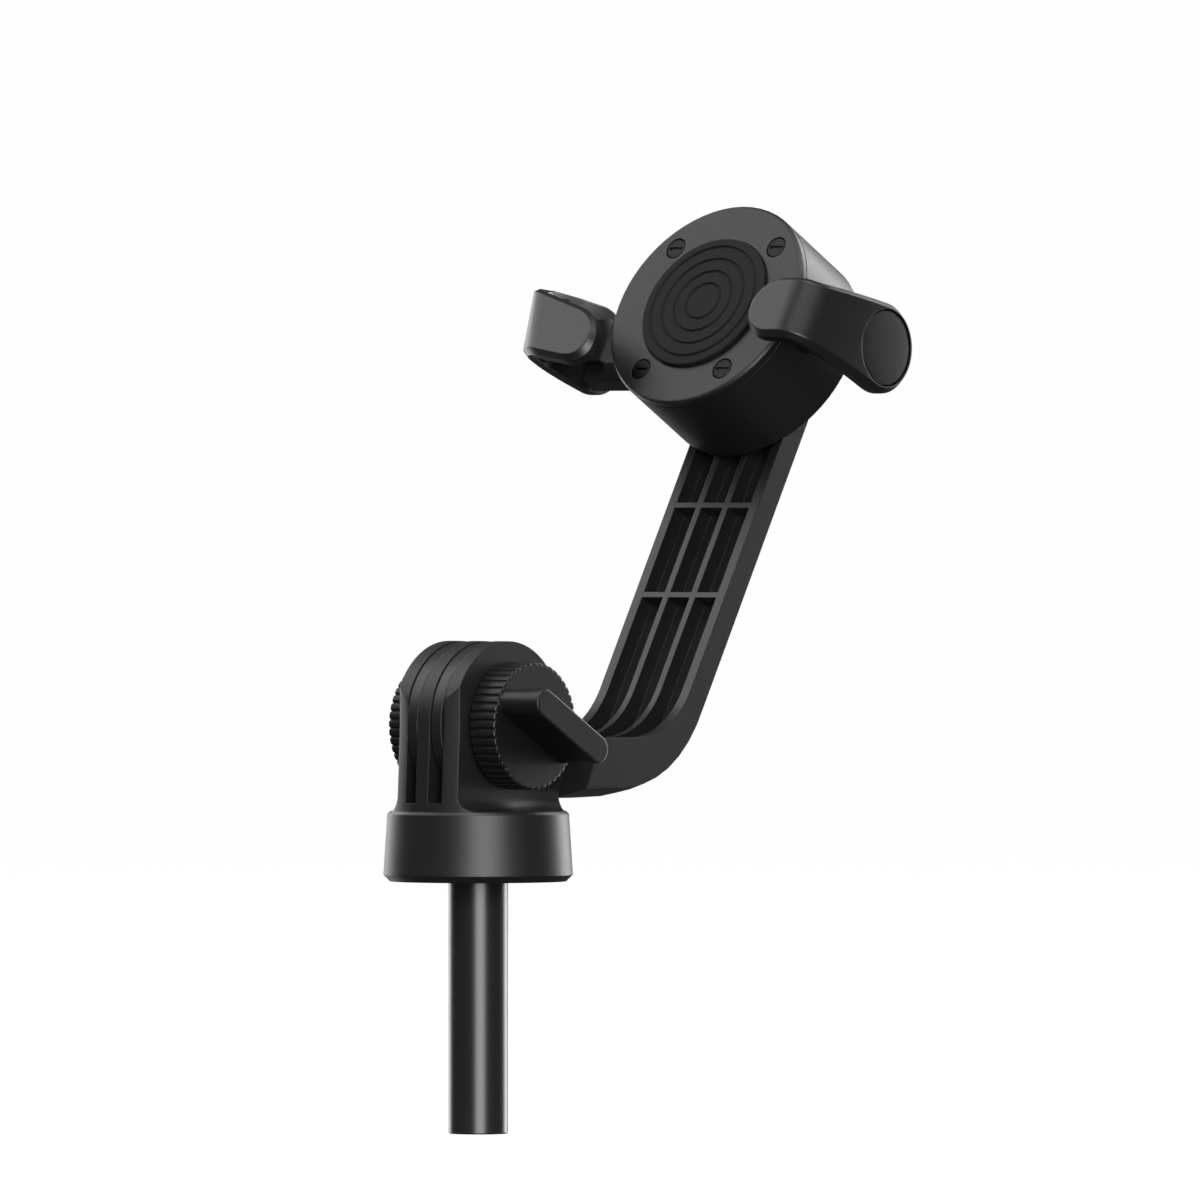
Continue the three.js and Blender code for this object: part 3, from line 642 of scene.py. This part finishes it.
@dataclass
class ClampHead:
    """The round housing with its cover, rest pad and screws, and the gear inside it."""

    shell_edge: float = 0.3
    pad_radius: float = 18.0
    pad_low: float = 26.7
    pad_face: float = 28.5
    pad_edge: float = 0.5
    pad_rings: tuple[float, ...] = (5.0, 8.5, 12.0, 15.5)
    ring_width: float = 0.9
    ring_depth: float = 0.45
    sides: int = 128

    def rest_pad(self) -> bmesh.types.BMesh:
        """The rubber disc that the phone's back rests on, with shallow round grooves in its face.

        Returns:
            The disc in the head's own frame.
        """
        edge, face = self.pad_edge, self.pad_face
        profile = [(0.0, self.pad_low), (self.pad_radius, self.pad_low),
                   *arc((self.pad_radius - edge, face - edge), edge, 0, 90, 4)]
        half = self.ring_width / 2
        for ring in reversed(self.pad_rings):
            profile += [(ring + half, face), (ring + half * 0.6, face - self.ring_depth),
                        (ring - half * 0.6, face - self.ring_depth), (ring - half, face)]
        return lathed(profile + [(0.0, face)], self.sides)

    def build(self) -> None:
        """Builds the housing's outside."""
        placed("housing_bowl", copied("housing_shell"), "housing_shell", bevel_mm=self.shell_edge)
        placed("housing_lid", copied("housing_cover"), "housing_cover", bevel_mm=self.shell_edge)
        placed("phone_rest", self.rest_pad(), "rest_pad", head_frame())
        for i in range(1, 5):
            screw = f"cover_screw_{i}"
            placed(f"lid_screw_{i}", copied(screw), screw, bevel_mm=0.1)

    def dress(self) -> None:
        """Dresses what is inside the housing."""
        kept(("swivel_washer", "pinion", "pinion_axle", "return_spring"))


# ---------------------------------------------------------------- the jaws
class Side(Enum):
    """Which jaw it is, with the sign of its X in the head's frame."""

    RIGHT = 1
    LEFT = -1


@dataclass(frozen=True)
class Round:
    """A circle that the flat pattern of a jaw wraps round."""

    along: float
    across: float
    radius: float


def tangent(a: Round, b: Round, sign: int) -> tuple[Vector, Vector]:
    """The straight line that touches two rounds on the same side.

    Args:
        a: the first round.
        b: the second.
        sign: 1 for the line above them, -1 for the line below.

    Returns:
        Where the line touches each of them.
    """
    along, across = b.along - a.along, b.across - a.across
    lean = math.atan2(across, along) + sign * math.asin((b.radius - a.radius)
                                                        / math.hypot(along, across))
    normal = Vector((-math.sin(lean), math.cos(lean))) * sign
    return (Vector((a.along, a.across)) + normal * a.radius,
            Vector((b.along, b.across)) + normal * b.radius)


@dataclass
class Jaw:
    """A claw jaw: a plate that is cut to an outline and bent round the phone's edge.

    The plate is laid out flat first, with its length along the plate's outer face and its height
    up the arm. Then it is bent along the jaw's path.
    """

    side: Side
    root: Round
    tip: Round
    elbow: Round = Round(0.0, -3.75, 11.2)
    elbow_depth: float = 11.7
    outer_x: float = 48.0
    sweep_from: float = 13.0
    sweep_turn: float = 14.0
    bend: float = 8.5
    lip_front: float = 40.4
    lean: float = 0.0
    lean_foot: float = -17.0
    lean_span: tuple[float, float] = (11.0, 33.0)
    wall: float = 4.4
    lip_wall: float = 3.9
    face_inset: float = 1.3
    cap_radius: float = 9.2
    cap_gap: float = 0.3
    cap_depth: float = 1.2
    cap_dome: float = 0.35
    path_step: float = 0.4
    path_tail: float = 1.0
    lip_steps: int = 90
    edge_steps: int = 40
    ease_passes: int = 14
    chamfer_depth: float = 1.45
    shoulder_depth: float = 1.85
    cut_step: float = 0.9
    cuts: tuple[int, int] = (-10, 56)

    def path(self) -> list[Point2]:
        """The jaw's outer face, seen from the end of the pad.

        Returns:
            Points in (x, z), from behind the elbow to past the lip's tip.
        """
        start = self.elbow_depth - self.elbow.radius - self.path_tail
        count = round((self.sweep_from - start) / self.path_step)
        points = [(self.outer_x, start + (self.sweep_from - start) * i / count) for i in range(count)]
        turn = math.radians(self.sweep_turn)
        rise = self.lip_front - self.sweep_from - self.bend * (1 - math.sin(turn))
        sweep = rise / math.sin(turn)
        points += arc((self.outer_x - sweep, self.sweep_from), sweep, 0, self.sweep_turn, 48)
        reach = points[-1][0] - self.bend * math.cos(turn)
        points += arc((reach, self.lip_front - self.bend), self.bend, self.sweep_turn, 90, 24)[1:]
        return points + [(reach - i * self.path_step, self.lip_front) for i in range(1, self.lip_steps)]

    def bent(self, flat: Vector, path: Sequence[Point2], lengths: Sequence[float]) -> Vector:
        """Carries a point of the flat pattern onto the bent jaw.

        Args:
            flat: how far along the plate, up the arm, and in from its outer face, in metres.
            path: the outer face's points.
            lengths: the distance along the path of each of them.

        Returns:
            The point in the head's frame, in metres.
        """
        along, across, inwards = flat / MM
        i = next((k for k, length in enumerate(lengths) if length > along), len(lengths) - 1)
        i = max(i, 1)
        share = (along - lengths[i - 1]) / (lengths[i] - lengths[i - 1])
        before, after = Vector(path[i - 1]), Vector(path[i])
        ends = []
        for k in (i - 1, i):
            run = Vector(path[min(k + 1, len(path) - 1)]) - Vector(path[max(k - 1, 0)])
            ends.append(run.normalized())
        run = ends[0].lerp(ends[1], share).normalized()
        x, z = before.lerp(after, share) + Vector((-run.y, run.x)) * inwards
        start, stop = self.lean_span
        eased = min(max((along - start) / (stop - start), 0), 1)
        x += self.lean * (across - self.lean_foot) * eased * eased * (3 - 2 * eased)
        return Vector((x * self.side.value, across, z)) * MM

    def edge(self, sign: int) -> list[Point2]:
        """One long edge of the pattern, from the elbow to the tip.

        Args:
            sign: 1 for the upper edge, -1 for the lower.

        Returns:
            Points along the edge, with its corner at the root eased over.
        """
        first, last = tangent(self.elbow, self.root, sign), tangent(self.root, self.tip, sign)
        start, stop = first[0].x, last[1].x
        steps = self.edge_steps
        places = [start + (stop - start) * i / steps for i in range(steps + 1)]
        heights = []
        for along in places:
            low, high = first if along < self.root.along else last
            heights.append(low.y + (high.y - low.y) * (along - low.x) / (high.x - low.x))
        for _ in range(self.ease_passes):
            heights = [heights[0]] + [(a + 2 * b + c) / 4 for a, b, c in
                                      zip(heights, heights[1:], heights[2:])] + [heights[-1]]
        return list(zip(places, heights))

    def pattern(self) -> list[Point2]:
        """The jaw's flat outline: round at the elbow and at the tip, and eased in between.

        Returns:
            Points of (along, across), anticlockwise.
        """
        upper, lower = self.edge(1), self.edge(-1)

        def angle(place: Round, point: Point2) -> float:
            """The direction of a point from a round's centre, in degrees."""
            return math.degrees(math.atan2(point[1] - place.across, point[0] - place.along))

        tip_low, tip_high = angle(self.tip, lower[-1]), angle(self.tip, upper[-1])
        elbow_high, elbow_low = angle(self.elbow, upper[0]), angle(self.elbow, lower[0]) + 360
        tip = arc((self.tip.along, self.tip.across), self.tip.radius, tip_low, tip_high, 28)
        back = arc((self.elbow.along, self.elbow.across), self.elbow.radius, elbow_high, elbow_low, 44)
        return lower[1:-1] + tip + upper[-2:0:-1] + back

    def claw(self) -> bmesh.types.BMesh:
        """The jaw itself, with the seat for its cap cut into the elbow.

        Returns:
            The bent plate in the head's own frame.
        """
        path = self.path()
        steps = [math.dist(a, b) for a, b in zip(path, path[1:])]
        lengths = [length - self.elbow.radius - self.path_tail for length in accumulate([0.0] + steps)]
        inset, wall = self.face_inset, self.wall
        face = [(inset + 0.25, 0.0), (inset, 0.05), (inset - 0.15, 0.2)]
        side = [(0.15, self.chamfer_depth), (0.03, 1.62), (0.0, self.shoulder_depth)]
        back = [(0.0, wall - 0.6), (0.18, wall - 0.18), (0.6, wall)]
        plate = stack(self.pattern(), face + side + back)
        for cut in range(*self.cuts):
            bmesh.ops.bisect_plane(plate, geom=plate.verts[:] + plate.edges[:] + plate.faces[:],
                                   plane_co=(cut * self.cut_step * MM, 0, 0), plane_no=(1, 0, 0),
                                   dist=1e-8)
        thin = (self.wall - self.lip_wall) / self.wall
        for vert in plate.verts:
            past = min(max(vert.co.x / MM / (self.lip_front - self.elbow_depth), 0), 1)
            vert.co.z *= 1 - thin * past
            vert.co = self.bent(vert.co, path, lengths)
        seat = lathed([(0, -self.cap_depth - self.cap_gap), (self.cap_radius + self.cap_gap,
                      -self.cap_depth - self.cap_gap), (self.cap_radius + self.cap_gap, 3), (0, 3)], 96)
        seat.transform(self.at_elbow())
        return joined(plate, seat, "DIFFERENCE")

    def at_elbow(self) -> Matrix:
        """Where the cap sits.

        Returns:
            The matrix that lays a lathed disc on the elbow's outer face, its axis pointing out.
        """
        sign = self.side.value
        turn = Matrix(((0, 0, sign, 0), (0, 1, 0, 0), (-sign, 0, 0, 0), (0, 0, 0, 1)))
        place = Vector((sign * self.outer_x, self.elbow.across, self.elbow_depth)) * MM
        return Matrix.Translation(place) @ turn

    def cap(self) -> bmesh.types.BMesh:
        """The slightly domed disc that covers the jaw's screw.

        Returns:
            The disc in the head's own frame.
        """
        radius, rise = self.cap_radius, self.cap_dome
        dome = [(radius * math.cos(a), -rise + rise * math.sin(a)) for a in
                (math.radians(10 * k) for k in range(1, 9))]
        edge = [(radius - 0.08, -rise - 0.02)]
        profile = [(0, -self.cap_depth), (radius, -self.cap_depth), (radius, -rise - 0.15), *edge]
        body = lathed(profile + dome + [(0, 0)], 96)
        body.transform(self.at_elbow())
        return body

    def build(self) -> None:
        """Builds the jaw, its cap, its pad and the slide that carries it."""
        hand = self.side.name.lower()
        placed(f"claw_{hand}", self.claw(), f"jaw_{hand}", head_frame())
        placed(f"claw_cap_{hand}", self.cap(), f"jaw_cap_{hand}", head_frame())
        placed(f"grip_pad_{hand}", copied(f"jaw_pad_{hand}"), f"jaw_pad_{hand}", bevel_mm=0.6)
        placed(f"toothed_slide_{hand}", copied(f"slide_{hand}"), f"slide_{hand}", bevel_mm=0.25)

    def dress(self) -> None:
        """Dresses the screw under the cap."""
        kept((f"jaw_screw_{self.side.name.lower()}",))


# ---------------------------------------------------------------- the studio
@dataclass(frozen=True)
class SoftBox:
    """A square soft light that looks at the head of the part."""

    name: str
    azimuth: float
    elevation: float
    distance: float
    width: float
    height: float
    power: float

    def build(self, target: Vector) -> None:
        """Hangs the light and turns it to its target.

        Args:
            target: the point that it looks at.
        """
        turn, rise = math.radians(self.azimuth), math.radians(self.elevation)
        out = Vector((math.sin(turn) * math.cos(rise), -math.cos(turn) * math.cos(rise),
                      math.sin(rise)))
        data = bpy.data.lights.new(self.name, "AREA")
        data.shape, data.size, data.size_y = "RECTANGLE", self.width, self.height
        data.energy = self.power
        lamp = bpy.data.objects.new(self.name, data)
        lamp.location = target + out * self.distance
        lamp.rotation_mode = "QUATERNION"
        lamp.rotation_quaternion = (-out).to_track_quat("-Z", "Y")
        lamp.visible_camera = False
        bpy.context.scene.collection.objects.link(lamp)


@dataclass
class Studio:
    """A pale floor, a pale surround, soft lights and the camera."""

    target: Vector = Vector((0.0226, 0.0189, 0.1290))
    azimuth: float = 39.9
    elevation: float = 0.38
    distance: float = 3.804
    lens: float = 472.0
    floor_radius: float = 7.0
    surround: float = 0.99
    fill: float = 0.08
    floor_glow: float = 0.97
    tufts_per_metre: float = 60.0

    LIGHTS: ClassVar[tuple[SoftBox, ...]] = (
        SoftBox("key_by_camera", 47, 3, 1.6, 1.0, 1.7, 44),
        SoftBox("upper_left", -62, 42, 1.5, 1.0, 1.0, 7),
        SoftBox("overhead", 60, 80, 1.4, 0.8, 0.8, 12),
        SoftBox("rim_right", 175, 8, 1.6, 0.8, 2.0, 30),
        SoftBox("rim_left", -105, 4, 1.6, 0.9, 1.8, 16),
    )

    def floor(self) -> None:
        """Lays a seamless vinyl floor: a big disc, flat and pale, with a faint tooth."""
        disc = bmesh.new()
        bmesh.ops.create_circle(disc, cap_ends=True, segments=96, radius=self.floor_radius)
        mesh = bpy.data.meshes.new("floor")
        disc.to_mesh(mesh)
        disc.free()
        floor = bpy.data.objects.new("floor", mesh)
        floor.location.z = -0.0002
        bpy.context.scene.collection.objects.link(floor)
        material = bpy.data.materials.new("matt_vinyl")
        material.use_nodes = True
        tree = material.node_tree
        tree.nodes.clear()
        place = add_node(tree, "ShaderNodeTexCoord").outputs["Object"]
        tooth = add_node(tree, "ShaderNodeTexNoise", {"Scale": self.tufts_per_metre, "Detail": 2.0},
                         {"Vector": place}).outputs["Fac"]
        tone = add_node(tree, "ShaderNodeMix", {6: linear("777777"), 7: linear("6f6f6f")},
                        {"Factor": tooth}, data_type="RGBA").outputs[2]
        shader = add_node(tree, "ShaderNodeBsdfPrincipled",
                          {"Roughness": 0.9, "Emission Color": linear("ffffff"),
                           "Emission Strength": self.floor_glow, "Specular IOR Level": 0.1},
                          {"Base Color": tone})
        add_node(tree, "ShaderNodeOutputMaterial", links={"Surface": shader.outputs["BSDF"]})
        mesh.materials.append(material)
        floor.visible_glossy = False
        floor.visible_diffuse = False

    def sky(self) -> None:
        """Fills the surround: white to the eye, and a dim fill to the part."""
        world = bpy.data.worlds.new("surround")
        bpy.context.scene.world = world
        world.use_nodes = True
        tree = world.node_tree
        tree.nodes.clear()
        seen = add_node(tree, "ShaderNodeLightPath").outputs["Is Camera Ray"]
        strength = add_node(tree, "ShaderNodeMapRange", {"To Min": self.fill, "To Max": self.surround},
                            {"Value": seen}).outputs["Result"]
        light = add_node(tree, "ShaderNodeBackground", {"Color": linear("ffffff")},
                         {"Strength": strength})
        add_node(tree, "ShaderNodeOutputWorld", links={"Surface": light.outputs["Background"]})

    def camera(self) -> None:
        """Sets up the camera, far off with a long lens."""
        turn, rise = math.radians(self.azimuth), math.radians(self.elevation)
        out = Vector((math.sin(turn) * math.cos(rise), -math.cos(turn) * math.cos(rise),
                      math.sin(rise)))
        data = bpy.data.cameras.new("camera")
        data.lens, data.sensor_width = self.lens, 36.0
        data.clip_start, data.clip_end = 0.1, 40.0
        camera = bpy.data.objects.new("camera", data)
        camera.location = self.target + out * self.distance
        camera.rotation_mode = "QUATERNION"
        camera.rotation_quaternion = (-out).to_track_quat("-Z", "Y")
        bpy.context.scene.collection.objects.link(camera)
        bpy.context.scene.camera = camera

    def build(self) -> None:
        """Sets up everything round the part."""
        self.floor()
        self.sky()
        self.camera()
        for light in self.LIGHTS:
            light.build(self.target)
        bpy.context.scene.view_settings.view_transform = "Standard"


def main() -> None:
    """Builds and dresses each sub-assembly in order, then the studio."""
    logging.basicConfig(level=logging.INFO, format="%(name)s %(message)s")
    parts = (
        PoleAndCollar(), TiltClamp(), CrankedArm(), ClampHead(),
        Jaw(Side.RIGHT, root=Round(23.8, -8.2, 8.4), tip=Round(36.6, -8.2, 8.4)),
        Jaw(Side.LEFT, root=Round(23.4, -9.8, 9.6), tip=Round(43.45, -15.2, 7.9), lean=0.26),
    )
    for part in parts:
        part.build()
        part.dress()
    Studio().build()


if __name__ == "__main__":
    main()
